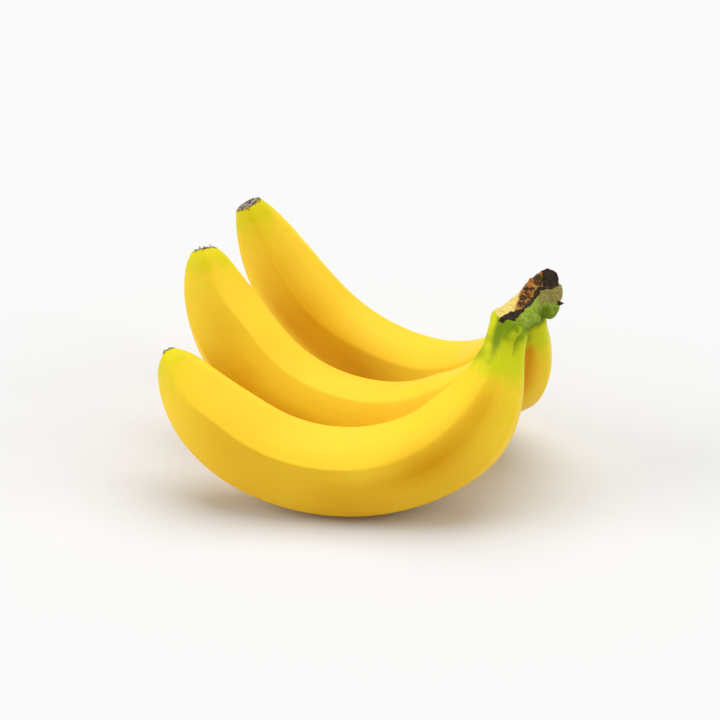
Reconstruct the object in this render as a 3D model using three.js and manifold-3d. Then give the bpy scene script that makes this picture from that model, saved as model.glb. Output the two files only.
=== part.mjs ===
// Bunch of three ripe bananas on one cut crown.
//
// The bunch lies on the convex undersides of its fruit, with the crown and the blossom ends in
// the air. Millimetres, +Z up; the ground is z = 0 and the bunch stands centred over the origin.
// -X is the side of the blossom ends, +X the side of the crown, and the fruit fan out towards +Y.

import * as THREE from 'three';
import { mergeVertices } from 'three/addons/utils/BufferGeometryUtils.js';
import Module from 'manifold-3d';

const wasm = await Module();
wasm.setup();

// ---------------------------------------------------------------- driving dimensions (mm, degrees)

const GAP = 0.3; // clearance where one piece is let into or laid against another

// Every fruit: radii are to the middle of a flat facet, distances run along the centre line.
const BODY_RADIUS = 16.2;
const NECK_START = 2.5; // the fruit's own skin starts here, below the crown
const NECK_LENGTH = 2.5; // the neck begins to swell here
const TAPER_START = 0.71; // share of the length where the blossom end begins to taper
const TAPER_FULLNESS = 2.25; // power of the taper's profile: higher keeps the girth longer
const TAPER_BLUNTNESS = 1.53; // and how round the profile turns in
const FACETS = 5; // a banana is five-sided
const FACET_SHARPNESS = 6; // power of the section: higher makes crisper ridges
const BEND_KNOTS = [0, 0.23, 0.45, 0.75, 1]; // shares of the length at neck, shoulder, belly, taper and tip
const RIDGE_KNOTS = [0, 0.25, 0.5, 0.78, 1];

// The fruit from the front of the fan to the back. `neck` is where the centre line starts under
// the crown, `yaw` the fan angle, `lean` the roll of the bow about its own length, `heading` the
// first direction below the horizontal, `bend` the curvature in degrees per centimetre and
// `ridge` the place of the first ridge, both at their knots. The body has its full girth from
// `shoulderEnd`. Each belly reaches 0.8 to 0.9 mm below the ground, which cuts the flat that the
// fruit rests on.
const FRUIT = [
  { name: 'front', neck: [56.4, -46.3, 74.4], yaw: 8.4, lean: 19.3, heading: -78.6, length: 183.4,
    girth: 0.994, neckRadius: 6.7, shoulderEnd: 49.4, tipRadius: 2.6,
    bend: [-2, 13.4, 7.5, 8, 4.9], ridge: [13, 17, 8.5, 5.5, -17] },
  { name: 'middle', neck: [57, -35, 66.2], yaw: 21.5, lean: 4.7, heading: -83, length: 187.3,
    girth: 1, neckRadius: 5.9, shoulderEnd: 52.3, tipRadius: 4.2,
    bend: [8.8, 11.7, 7.2, 9.6, 2.7], ridge: [50.5, 49, 49.5, 48.5, 23] },
  { name: 'back', neck: [63, -25.8, 69], yaw: 39.9, lean: -18.4, heading: -96.9, length: 207.4,
    girth: 0.968, neckRadius: 6.3, shoulderEnd: 44.6, tipRadius: 4.4,
    bend: [17.6, 7.5, 7.1, 10.1, -1.6], ridge: [54, 55.5, 54.5, 47, 41] },
];

// Dried blossom end on each tip.
const BLOSSOM_HEIGHT = 1.6; // of which the last part of the fruit's length is made
const BLOSSOM_SHARE = 0.94; // of the tip's radius
const BLOSSOM_CLOSING = 0.22; // how much narrower it is at the rim
const BLOSSOM_FRAY = 0.4; // how much of the height the ragged rim rises and falls
const BLOSSOM_TEETH = [{ count: 5, share: 0.6 }, { count: 3, share: 0.4 }]; // of the ragged rim

// Crown: a pad over the three necks, in its own axes (x along it, y to its far side, z up).
const CROWN_CENTRE = [62.7, -35.3];
const CROWN_TURN = 54;
const CROWN_HALF_LENGTH = 21.5;
const CROWN_END_FULLNESS = 3; // power of the rounded ends: 2 is an ellipse, more is blunter
// Section of the pad along it: middle and half sizes across and up, at these places.
const CROWN_PLACES = [-21, -12, 0, 11, 21];
const CROWN_MIDDLE_Y = [0.3, 0.5, 1.4, 1.5, 1.4];
const CROWN_MIDDLE_Z = [71.5, 72.3, 73.4, 75.6, 77.8];
const CROWN_HALF_WIDTH = [5.6, 6.2, 5.2, 5.4, 5.2];
const CROWN_HALF_HEIGHT = [4.5, 5.5, 6, 7.8, 7.6];
const COLLAR_WALL = 0.7; // green rim round each neck
const COLLAR_DEPTH = 2.5; // how far down the neck the rim comes
const COLLAR_ROOT = 6; // and how far up into the pad it is rooted
const COLLAR_TAPER = 3.5; // how much thinner the root is than the rim
const KNUCKLES = [
  // bulges of old bract scars round the pad's underside: x, y, z, radius
  [-4.6, -2.8, 71.6, 3.6],
  [10.8, -3.2, 71.3, 4.0],
  [-9.5, 3.4, 71.6, 3.4],
  [-3, 5.6, 69, 6],
  // swellings at the pad's two ends
  [-14, 1.9, 73.3, 4.8],
  [13.8, -1.6, 75.4, 5.2],
];
// Torn cut face on top: height over the pad's axes, and how rough the fibres stand.
const CUT_HEIGHT = 77.8;
const CUT_RISE = 0.13; // per mm towards the far end
const CUT_SWEEP = 0.004; // per mm squared
const CUT_TILT = 0.28; // per mm towards the far side
const CUT_TWIST = 0.02; // more tilt for each mm towards the far end
const CUT_ROUGHNESS = 0.45;
const CUT_BLOCK = 14; // thickness of what is cut away
const CUT_WIDTH = 30; // and its width
const CUT_FIBRES = [
  // waves of the torn fibres: radians per mm along and across the crown, and height share
  { along: 1.9, across: 1.3, share: 1 },
  { along: 0.9, across: -1.7, share: 0.7 },
];

// Facets of the solids.
const SIDES = 30; // round a fruit, six to a ridge
const RINGS = 42; // along a fruit
const SPINE_STEPS = 240;
const COLLAR_RINGS = 6;
const BLOSSOM_SIDES = 20;
const BLOSSOM_RINGS = 2;
const PAD_SIDES = 24;
const PAD_RINGS = 18;
const KNUCKLE_SIDES = 12;
const KNUCKLE_RINGS = 8;
const CUT_STEPS_ALONG = 20;
const CUT_STEPS_ACROSS = 12;
const GROUND_SIZE = 400;

const PEEL = { color: 0xf3c72b, roughness: 0.45, metalness: 0 };
const CROWN_SKIN = { color: 0x77931f, roughness: 0.6, metalness: 0 };
const DRIED = { color: 0x3b2f28, roughness: 0.9, metalness: 0 };

// ---------------------------------------------------------------- solids

const toSolid = (geometry) => {
  const bare = geometry.clone();
  bare.deleteAttribute('normal');
  bare.deleteAttribute('uv');
  const merged = mergeVertices(bare, 1e-4);
  return new wasm.Manifold(new wasm.Mesh({
    numProp: 3,
    vertProperties: Float32Array.from(merged.attributes.position.array),
    triVerts: Uint32Array.from(merged.index.array),
  }));
};

const toGeometry = (solid) => {
  const { vertProperties, triVerts } = solid.getMesh();
  const geometry = new THREE.BufferGeometry();
  geometry.setAttribute('position', new THREE.BufferAttribute(vertProperties, 3));
  geometry.setIndex(new THREE.BufferAttribute(triVerts, 1));
  geometry.computeVertexNormals();
  return geometry;
};

const piece = (name, solid, finish) => {
  const mesh = new THREE.Mesh(toGeometry(solid), new THREE.MeshStandardMaterial(finish));
  mesh.name = name;
  return mesh;
};

// Moves every vertex of a geometry through a formula.
const reshape = (geometry, formula) => {
  const position = geometry.attributes.position;
  const point = new THREE.Vector3();
  for (let i = 0; i < position.count; i += 1) {
    point.fromBufferAttribute(position, i);
    const moved = formula(point);
    position.setXYZ(i, moved.x, moved.y, moved.z);
  }
  return geometry;
};

// ---------------------------------------------------------------- fruit

const { smoothstep, degToRad, lerp, clamp } = THREE.MathUtils;

// Value at a place, eased from knot to knot.
const eased = (knots, values, place) => {
  const last = knots.length - 2;
  const next = knots.findIndex((knot) => knot > place);
  const i = next < 0 ? last : clamp(next - 1, 0, last);
  return lerp(values[i], values[i + 1], smoothstep(place, knots[i], knots[i + 1]));
};

// Curvature in radians per mm at a share of the length.
const curvature = (bend, share) => degToRad(eased(BEND_KNOTS, bend, share)) / 10;

// Centre line of one fruit: returns a function that gives the place and the section's two axes
// at a distance along it. It runs straight on beyond either end.
const centreLine = (fruit) => {
  const yaw = degToRad(fruit.yaw);
  const lean = degToRad(fruit.lean);
  const up = new THREE.Vector3(0, 0, 1);
  const toTip = new THREE.Vector3(-Math.cos(yaw), Math.sin(yaw), 0);
  const toFront = new THREE.Vector3(-Math.sin(yaw), -Math.cos(yaw), 0);
  const rise = up.clone().multiplyScalar(Math.cos(lean)).addScaledVector(toFront, -Math.sin(lean));
  const side = toFront.clone().multiplyScalar(Math.cos(lean)).addScaledVector(up, Math.sin(lean));
  const step = fruit.length / SPINE_STEPS;
  const stations = [{ heading: degToRad(fruit.heading), run: 0, height: 0 }];
  for (let i = 1; i <= SPINE_STEPS; i += 1) {
    const last = stations[i - 1];
    const heading = last.heading + curvature(fruit.bend, (i - 0.5) / SPINE_STEPS) * step;
    const middle = (last.heading + heading) / 2;
    stations.push({
      heading,
      run: last.run + Math.cos(middle) * step,
      height: last.height + Math.sin(middle) * step,
    });
  }
  return (distance) => {
    const i = clamp(Math.floor(distance / step), 0, SPINE_STEPS - 1);
    const t = distance / step - i;
    const a = stations[i];
    const b = stations[i + 1];
    const heading = lerp(a.heading, b.heading, clamp(t, 0, 1));
    const centre = new THREE.Vector3(...fruit.neck)
      .addScaledVector(toTip, lerp(a.run, b.run, t))
      .addScaledVector(rise, lerp(a.height, b.height, t));
    const inward = toTip.clone().multiplyScalar(-Math.sin(heading))
      .addScaledVector(rise, Math.cos(heading));
    const along = new THREE.Vector3().crossVectors(side, inward);
    return { centre, side, inward, along };
  };
};

// Radius to a facet's middle at a distance along the fruit.
const facetRadius = (fruit, distance) => {
  const grown = smoothstep(distance, NECK_LENGTH, fruit.shoulderEnd);
  const girth = lerp(fruit.neckRadius, BODY_RADIUS, grown);
  const blunt = 1 - (fruit.tipRadius / BODY_RADIUS) ** TAPER_BLUNTNESS;
  const reach = blunt ** (1 / TAPER_FULLNESS);
  const taper = clamp((distance / fruit.length - TAPER_START) / (1 - TAPER_START), 0, 1) * reach;
  return fruit.girth * girth * (1 - taper ** TAPER_FULLNESS) ** (1 / TAPER_BLUNTNESS);
};

// Five-sided section with rounded ridges: 1 at a facet's middle, about 1.1 on a ridge.
const sectionFactor = (fromRidge) => {
  let sum = 0;
  for (let i = 0; i < FACETS; i += 1) {
    const facing = Math.cos(fromRidge - ((i + 0.5) * 2 * Math.PI) / FACETS);
    sum += Math.max(facing, 0) ** FACET_SHARPNESS;
  }
  return sum ** (-1 / FACET_SHARPNESS);
};

// A stretch of a fruit's body, fatter all round by what `growth` gives for the distance.
const fruitStretch = (fruit, from, to, growth, rings = RINGS) => {
  const line = centreLine(fruit);
  const tube = new THREE.CylinderGeometry(1, 1, 1, SIDES, rings);
  return toSolid(reshape(tube, (point) => {
    const distance = lerp(from, to, point.y + 0.5);
    const { centre, side, inward } = line(distance);
    const fromRidge = Math.atan2(point.x, point.z);
    const share = distance / fruit.length;
    const angle = fromRidge + degToRad(eased(RIDGE_KNOTS, fruit.ridge, share));
    const radius = facetRadius(fruit, distance) * sectionFactor(fromRidge) + growth(distance);
    const reach = Math.hypot(point.x, point.z) * radius;
    return centre.addScaledVector(side, reach * Math.cos(angle))
      .addScaledVector(inward, reach * Math.sin(angle));
  }));
};

const fruitEnd = (fruit) => fruit.length - BLOSSOM_HEIGHT;

const wholeFruit = (fruit, grow = 0) => (
  fruitStretch(fruit, NECK_START - grow, fruitEnd(fruit) + grow, () => grow)
);

const ground = () => {
  const block = new THREE.BoxGeometry(GROUND_SIZE, GROUND_SIZE, GROUND_SIZE);
  return toSolid(block.translate(0, 0, -GROUND_SIZE / 2));
};

// The dried flower scar: a low ragged cup on the fruit's tip.
const blossomEnd = (fruit) => {
  const { centre, side, inward, along } = centreLine(fruit)(fruitEnd(fruit));
  const radius = fruit.tipRadius * fruit.girth * BLOSSOM_SHARE;
  const cup = new THREE.CylinderGeometry(1, 1, 1, BLOSSOM_SIDES, BLOSSOM_RINGS);
  return toSolid(reshape(cup, (point) => {
    const height = point.y + 0.5;
    const angle = Math.atan2(point.x, point.z);
    let ragged = 0;
    for (const { count, share } of BLOSSOM_TEETH) {
      ragged += share * Math.sin(count * angle + fruit.yaw);
    }
    const onRim = Math.hypot(point.x, point.z);
    const lift = height * BLOSSOM_HEIGHT * (1 + BLOSSOM_FRAY * (ragged * onRim - 1 + onRim));
    const reach = radius * onRim * (1 - BLOSSOM_CLOSING * height * height);
    return centre.clone().addScaledVector(along, GAP + lift)
      .addScaledVector(side, reach * Math.cos(angle))
      .addScaledVector(inward, reach * Math.sin(angle));
  }));
};

// ---------------------------------------------------------------- crown

// From the crown's own axes into the bunch's.
const crownPlace = new THREE.Matrix4().makeRotationZ(degToRad(CROWN_TURN))
  .setPosition(CROWN_CENTRE[0], CROWN_CENTRE[1], 0);

const crownPad = () => {
  const ball = new THREE.SphereGeometry(1, PAD_SIDES, PAD_RINGS).rotateZ(-Math.PI / 2);
  const pad = reshape(ball, ({ x, y, z }) => {
    const place = x * CROWN_HALF_LENGTH;
    const at = (values) => eased(CROWN_PLACES, values, place);
    const closing = (1 - Math.min(Math.abs(x), 1) ** CROWN_END_FULLNESS) ** (1 / CROWN_END_FULLNESS);
    const reach = closing / Math.max(Math.hypot(y, z), Number.EPSILON);
    return new THREE.Vector3(
      place,
      at(CROWN_MIDDLE_Y) + y * reach * at(CROWN_HALF_WIDTH),
      at(CROWN_MIDDLE_Z) + z * reach * at(CROWN_HALF_HEIGHT),
    );
  });
  return toSolid(pad.applyMatrix4(crownPlace));
};

// Rim round a neck, narrowing upwards into the pad.
const crownCollar = (fruit) => {
  const top = NECK_START - COLLAR_ROOT;
  const growth = (distance) => (
    COLLAR_WALL - COLLAR_TAPER * (1 - smoothstep(distance, top, NECK_START))
  );
  return fruitStretch(fruit, top, NECK_START + COLLAR_DEPTH, growth, COLLAR_RINGS);
};

const crownKnuckle = ([x, y, z, radius]) => {
  const bulge = new THREE.SphereGeometry(radius, KNUCKLE_SIDES, KNUCKLE_RINGS).translate(x, y, z);
  return toSolid(bulge.applyMatrix4(crownPlace));
};

// Everything above the torn face: a block whose underside is the rough cut.
const cutAway = () => {
  const length = 3 * CROWN_HALF_LENGTH;
  const block = new THREE.BoxGeometry(
    length, CUT_WIDTH, CUT_BLOCK, CUT_STEPS_ALONG, CUT_STEPS_ACROSS, 1,
  );
  return toSolid(reshape(block, ({ x, y, z }) => {
    let fibres = 0;
    for (const { along, across, share } of CUT_FIBRES) {
      fibres += share * Math.sin(along * x + across * y);
    }
    const tilt = CUT_TILT + CUT_TWIST * Math.max(x, 0);
    const cut = CUT_HEIGHT + CUT_RISE * x + CUT_SWEEP * x * x + tilt * y;
    const above = z < 0 ? CUT_ROUGHNESS * fibres : CUT_BLOCK;
    return new THREE.Vector3(x, y, cut + above).applyMatrix4(crownPlace);
  }));
};

const crown = () => {
  let solid = crownPad();
  for (const fruit of FRUIT) {
    solid = solid.add(crownCollar(fruit));
  }
  for (const knuckle of KNUCKLES) {
    solid = solid.add(crownKnuckle(knuckle));
  }
  solid = solid.subtract(cutAway());
  for (const fruit of FRUIT) {
    solid = solid.subtract(wholeFruit(fruit, GAP));
  }
  return solid;
};

// ---------------------------------------------------------------- bunch

const bunch = new THREE.Group();
bunch.name = 'bunch_of_bananas';

const laidBefore = [];
for (const fruit of FRUIT) {
  let body = wholeFruit(fruit).subtract(ground());
  for (const neighbour of laidBefore) {
    body = body.subtract(wholeFruit(neighbour, GAP));
  }
  laidBefore.push(fruit);
  bunch.add(piece(`banana_${fruit.name}`, body, PEEL));
  bunch.add(piece(`blossom_end_${fruit.name}`, blossomEnd(fruit), DRIED));
}
bunch.add(piece('crown', crown(), CROWN_SKIN));

export default bunch;
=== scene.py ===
"""Bunch of three bananas: peel, crown and blossom ends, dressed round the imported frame.

Shapes are worked out in millimetres from named sizes and written to the meshes in metres.
"""

import logging
import math
import random
from collections.abc import Callable, Iterable, Sequence
from dataclasses import dataclass
from enum import Enum

import bmesh
import bpy
from mathutils import Matrix, Vector, noise
from mathutils.kdtree import KDTree


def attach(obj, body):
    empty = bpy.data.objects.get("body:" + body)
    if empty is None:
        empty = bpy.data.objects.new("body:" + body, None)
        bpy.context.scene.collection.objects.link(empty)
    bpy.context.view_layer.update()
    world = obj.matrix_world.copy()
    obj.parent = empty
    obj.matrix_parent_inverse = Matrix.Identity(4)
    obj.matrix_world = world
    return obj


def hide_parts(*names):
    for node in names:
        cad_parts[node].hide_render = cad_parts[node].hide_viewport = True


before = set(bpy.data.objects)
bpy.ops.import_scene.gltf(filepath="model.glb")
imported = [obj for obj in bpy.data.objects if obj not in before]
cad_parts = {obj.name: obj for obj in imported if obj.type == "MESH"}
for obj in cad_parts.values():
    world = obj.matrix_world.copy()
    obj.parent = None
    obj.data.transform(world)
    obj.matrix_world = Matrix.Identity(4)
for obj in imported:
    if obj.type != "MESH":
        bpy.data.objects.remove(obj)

log = logging.getLogger("bananas")

MM = 0.001
BODY = "root"
SEED_STEPS = (1.0, 2.3, -1.7)  # how a seed of 1 moves a noise along each axis

Colour = tuple[float, float, float]
Span = tuple[float, float]
Numbers = tuple[float, ...]
Piece = bpy.types.Object
Socket = bpy.types.NodeSocket
Mesh = bmesh.types.BMesh
Vert = bmesh.types.BMVert


class Slot(Enum):
    """Material slots of the record."""

    PEEL = "peel"
    CROWN = "crown_skin"
    DRIED = "dried_blossom"


class Sum(Enum):
    """Sums that a node can do with two values."""

    ADD = "ADD"
    TIMES = "MULTIPLY"
    GREATER = "MAXIMUM"


# ---------------------------------------------------------------- small sums


def clamp(value: float, low: float = 0.0, high: float = 1.0) -> float:
    """Value held between two limits."""
    return min(max(value, low), high)


def lerp(a: float, b: float, share: float) -> float:
    """Straight mix of two values."""
    return a + (b - a) * share


def smoothstep(value: float, low: float, high: float) -> float:
    """Eased rise from 0 at low to 1 at high."""
    t = clamp((value - low) / (high - low))
    return t * t * (3 - 2 * t)


def eased(knots: Sequence[float], values: Sequence[float], place: float) -> float:
    """Value at a place, eased from knot to knot.

    Args:
        knots: Rising places.
        values: The value at each knot.
        place: Where to read it.

    Returns:
        The value there, held constant beyond both ends.
    """
    i = 0
    while i < len(knots) - 2 and place >= knots[i + 1]:
        i += 1
    return lerp(values[i], values[i + 1], smoothstep(place, knots[i], knots[i + 1]))


def window(value: float, spans: tuple[Span, Span]) -> float:
    """Share that rises over the first span and falls back over the second."""
    rise, fall = spans
    return smoothstep(value, *rise) * (1 - smoothstep(value, *fall))


def bell(value: float, width: float) -> float:
    """Soft bump of height 1 round zero."""
    return math.exp(-((value / width) ** 2))


def zone(inside: float, blur: float = 1.0) -> float:
    """Painted share of a zone: 0.5 on its edge, and it rises by 1 over the blur."""
    return 0.5 + inside / blur


def grain(point: Vector, size: float, seed: float = 0.0) -> float:
    """Smooth noise from -1 to 1 with features of a given size; the seed moves it."""
    return noise.noise(point / size + Vector([step * seed for step in SEED_STEPS]))


def turn_difference(a: float, b: float) -> float:
    """Difference of two angles, from -pi to pi."""
    return (a - b + math.pi) % math.tau - math.pi


# ---------------------------------------------------------------- meshes


def to_object(name: str, bm: Mesh) -> Piece:
    """Turns a bmesh in millimetres into a smooth shaded object in metres.

    Args:
        name: Name of the piece.
        bm: The mesh, which is freed.

    Returns:
        The new object, linked to the scene.
    """
    bmesh.ops.scale(bm, vec=(MM, MM, MM), verts=bm.verts)
    bmesh.ops.recalc_face_normals(bm, faces=bm.faces)
    if bm.calc_volume(signed=True) < 0:
        bmesh.ops.reverse_faces(bm, faces=bm.faces)
    for face in bm.faces:
        face.smooth = True
    mesh = bpy.data.meshes.new(name)
    bm.to_mesh(mesh)
    bm.free()
    piece = bpy.data.objects.new(name, mesh)
    bpy.context.scene.collection.objects.link(piece)
    return piece


def unit_tube(sides: int, rings: int, cap_insets: Sequence[float]) -> Mesh:
    """Closed tube of radius 1 along +Z from 0 to 1, ready to be reshaped.

    Args:
        sides: Faces round it.
        rings: Faces along it.
        cap_insets: Radii of the rings inside each end, from the outside in.

    Returns:
        The mesh.
    """
    bm = bmesh.new()
    bmesh.ops.create_cone(bm, cap_ends=True, segments=sides, radius1=1, radius2=1, depth=1)
    bmesh.ops.translate(bm, vec=(0, 0, 0.5), verts=bm.verts)
    upright = [e for e in bm.edges if abs(e.verts[0].co.z - e.verts[1].co.z) > 0.5]
    bmesh.ops.subdivide_edges(bm, edges=upright, cuts=rings - 1, use_grid_fill=True)
    reach = 1.0
    for radius in cap_insets:
        caps = [f for f in bm.faces if len(f.verts) == sides]
        thickness = (reach - radius) * math.cos(math.pi / sides)
        bmesh.ops.inset_individual(bm, faces=caps, thickness=thickness)
        reach = radius
    return bm


def reshape(bm: Mesh, formula: Callable[[Vector], Vector]) -> None:
    """Moves every vertex of a mesh through a formula."""
    for vert in bm.verts:
        vert.co = formula(vert.co.copy())


def take_in(bm: Mesh, part: Mesh) -> None:
    """Moves another mesh into this one.

    Args:
        bm: The mesh that grows.
        part: The mesh that it takes in, which is freed.
    """
    mesh = bpy.data.meshes.new("part")
    part.to_mesh(mesh)
    part.free()
    bm.from_mesh(mesh)
    bpy.data.meshes.remove(mesh)


def remeshed(bm: Mesh, voxel: float) -> Mesh:
    """Fuses overlapping closed shells into one even skin.

    Args:
        bm: The shells in millimetres, which are freed.
        voxel: Size of a face in millimetres.

    Returns:
        The fused mesh in millimetres.
    """
    piece = to_object("fused", bm)
    modifier = piece.modifiers.new("fuse", "REMESH")
    modifier.mode = "VOXEL"
    modifier.voxel_size = voxel * MM
    made = bpy.data.meshes.new_from_object(
        piece.evaluated_get(bpy.context.evaluated_depsgraph_get())
    )
    fused = bmesh.new()
    fused.from_mesh(made)
    bmesh.ops.scale(fused, vec=(1 / MM, 1 / MM, 1 / MM), verts=fused.verts)
    bpy.data.objects.remove(piece)
    bpy.data.meshes.remove(made)
    return fused


def paint(bm: Mesh, name: str, formula: Callable[[Vert], Sequence[float]]) -> None:
    """Stores four shares at every vertex, for a material to read.

    Args:
        bm: The mesh.
        name: Name of the attribute.
        formula: Gives the four shares of a vertex.
    """
    layer = bm.verts.layers.float_color.new(name)
    for vert in bm.verts:
        vert[layer] = tuple(clamp(share) for share in formula(vert))


def soften(bm: Mesh, factor: float, rounds: int = 1) -> None:
    """Smooths every vertex of a mesh.

    Args:
        bm: The mesh.
        factor: How far each vertex moves to the middle of its neighbours.
        rounds: How often it is done.
    """
    for _ in range(rounds):
        bmesh.ops.smooth_vert(
            bm, verts=bm.verts, factor=factor, use_axis_x=True, use_axis_y=True, use_axis_z=True
        )


def dress(piece: Piece, material: bpy.types.Material, node: str) -> Piece:
    """Gives a piece its material and ties it to the frame.

    Args:
        piece: The modelled piece.
        material: What it is made of.
        node: The frame's node that it stands for.

    Returns:
        The same piece.
    """
    piece.data.materials.append(material)
    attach(piece, BODY)
    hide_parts(node)
    log.info("%s: %d faces", piece.name, len(piece.data.polygons))
    return piece


# ---------------------------------------------------------------- node materials


@dataclass(frozen=True)
class Grain:
    """A noise: feature size in millimetres, octaves of finer noise and their strength."""

    size: float
    detail: float = 2
    rough: float = 0.5


@dataclass(frozen=True)
class Fray:
    """How ragged a zone's edge is: how far noise moves it, and its half width, as shares."""

    amount: float
    edge: float


@dataclass(frozen=True)
class Relief:
    """A bump: its depth in millimetres and its strength."""

    depth: float
    strength: float


class Finish:
    """Builds one node material step by step."""

    NOISE: Span = (0.25, 0.75)  # where most of a noise's values lie
    MIX_COLOURS = (6, 7)  # a Mix node's colour sockets, which share their names with others
    MIX_RESULT = 2

    def __init__(self, name: str) -> None:
        """Starts an empty material with a Principled shader.

        Args:
            name: Name of the material.
        """
        self.material = bpy.data.materials.new(name)
        self.material.use_nodes = True
        self.nodes = self.material.node_tree.nodes
        self.links = self.material.node_tree.links
        self.shader = self.nodes["Principled BSDF"]
        self.place = self.nodes.new("ShaderNodeTexCoord").outputs["Object"]

    def join(self, source: Socket, target: Socket) -> None:
        """Links two sockets."""
        self.links.new(source, target)

    def fixed(self, **values: float | Numbers) -> None:
        """Sets constants on the shader's own sockets; underscores stand for spaces."""
        for name, value in values.items():
            self.shader.inputs[name.replace("_", " ")].default_value = value

    def share(self, attribute: str) -> tuple[Socket, ...]:
        """The four shares painted on the mesh.

        Args:
            attribute: Name of the painted attribute.

        Returns:
            Its red, green, blue and alpha sockets.
        """
        node = self.nodes.new("ShaderNodeAttribute")
        node.attribute_name = attribute
        split = self.nodes.new("ShaderNodeSeparateColor")
        self.join(node.outputs["Color"], split.inputs["Color"])
        return (*split.outputs, node.outputs["Alpha"])

    def grain(self, kind: Grain) -> Socket:
        """Noise from 0 to 1 in the object's own coordinates.

        Args:
            kind: Its feature size, detail and strength.

        Returns:
            The noise socket.
        """
        node = self.nodes.new("ShaderNodeTexNoise")
        node.inputs["Scale"].default_value = 1 / (kind.size * MM)
        node.inputs["Detail"].default_value = kind.detail
        node.inputs["Roughness"].default_value = kind.rough
        self.join(self.place, node.inputs["Vector"])
        return node.outputs["Fac"]

    def span(
        self, source: Socket, low: float, high: float, to_low: float = 0.0, to_high: float = 1.0
    ) -> Socket:
        """Maps one range smoothly to another.

        Args:
            source: The value.
            low: Value that gives `to_low`.
            high: Value that gives `to_high`.
            to_low: Start of the new range.
            to_high: End of the new range.

        Returns:
            The mapped value.
        """
        node = self.nodes.new("ShaderNodeMapRange")
        node.interpolation_type = "SMOOTHSTEP"
        for name, value in zip(
            ("From Min", "From Max", "To Min", "To Max"), (low, high, to_low, to_high), strict=True
        ):
            node.inputs[name].default_value = value
        self.join(source, node.inputs["Value"])
        return node.outputs["Result"]

    def sum(self, kind: Sum, a: Socket, b: Socket | float) -> Socket:
        """Works out one sum of two values.

        Args:
            kind: Which sum it is.
            a: First value.
            b: Second value, which may be a constant.

        Returns:
            The result.
        """
        node = self.nodes.new("ShaderNodeMath")
        node.operation = kind.value
        self.join(a, node.inputs[0])
        if isinstance(b, float):
            node.inputs[1].default_value = b
        else:
            self.join(b, node.inputs[1])
        return node.outputs["Value"]

    def ragged(self, share: Socket, noise_out: Socket, fray: Fray) -> Socket:
        """Turns a soft painted share into a zone with a ragged edge.

        Args:
            share: Painted share, 0.5 on the zone's edge.
            noise_out: Noise that frays the edge.
            fray: How ragged the edge is.

        Returns:
            The zone, from 0 to 1.
        """
        shift = self.span(noise_out, *self.NOISE, -fray.amount, fray.amount)
        moved = self.sum(Sum.ADD, share, shift)
        return self.span(moved, 0.5 - fray.edge, 0.5 + fray.edge)

    def mix(self, share: Socket, a: Colour | Socket, b: Colour | Socket) -> Socket:
        """Mixes two colours by a share.

        Args:
            share: 0 for the first colour, 1 for the second.
            a: First colour.
            b: Second colour.

        Returns:
            The mixed colour.
        """
        node = self.nodes.new("ShaderNodeMix")
        node.data_type = "RGBA"
        self.join(share, node.inputs["Factor"])
        for i, colour in zip(self.MIX_COLOURS, (a, b), strict=True):
            socket = node.inputs[i]
            if isinstance(colour, tuple):
                socket.default_value = (*colour, 1)
            else:
                self.join(colour, socket)
        return node.outputs[self.MIX_RESULT]

    def relief(self, height: Socket, kind: Relief, under: Socket | None = None) -> Socket:
        """Makes a bump from a height.

        Args:
            height: The height, from 0 to 1.
            kind: Its depth and strength.
            under: Another bump that this one lies on.

        Returns:
            The normal.
        """
        node = self.nodes.new("ShaderNodeBump")
        node.inputs["Distance"].default_value = kind.depth * MM
        node.inputs["Strength"].default_value = kind.strength
        self.join(height, node.inputs["Height"])
        if under is not None:
            self.join(under, node.inputs["Normal"])
        return node.outputs["Normal"]

    def feed(self, name: str, source: Socket) -> None:
        """Sends a socket to one of the shader's inputs."""
        self.join(source, self.shader.inputs[name])


# the painted attributes
PEEL_PAINT = "peel_paint"
# the peel's streaks and its painted shade
PEEL_STREAK_SHADE = "peel_streak_shade"
CROWN_PAINT = "crown_paint"
# the crown's tint holds its painted light, lumps and the neck's greens
CROWN_TINT = "crown_tint"
DRIED_PAINT = "dried_paint"

# the neck's light green, and a darker green that also stands for painted shade in the furrows
NECK_LIGHT: Colour = (0.62, 0.64, 0.008)
NECK_GREEN: Colour = (0.20, 0.29, 0.003)
NECK_FRAY = Fray(0.2, 0.5)
MOTTLE = Grain(5, 3, 0.6)


def neck_green(finish: Finish, groove: Socket, mottle: Socket) -> Socket:
    """The neck's greens, darker in the furrows as painted shade, which run on from the peel into
    the crown.
    """
    return finish.mix(finish.ragged(groove, mottle, NECK_FRAY), NECK_LIGHT, NECK_GREEN)


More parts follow.
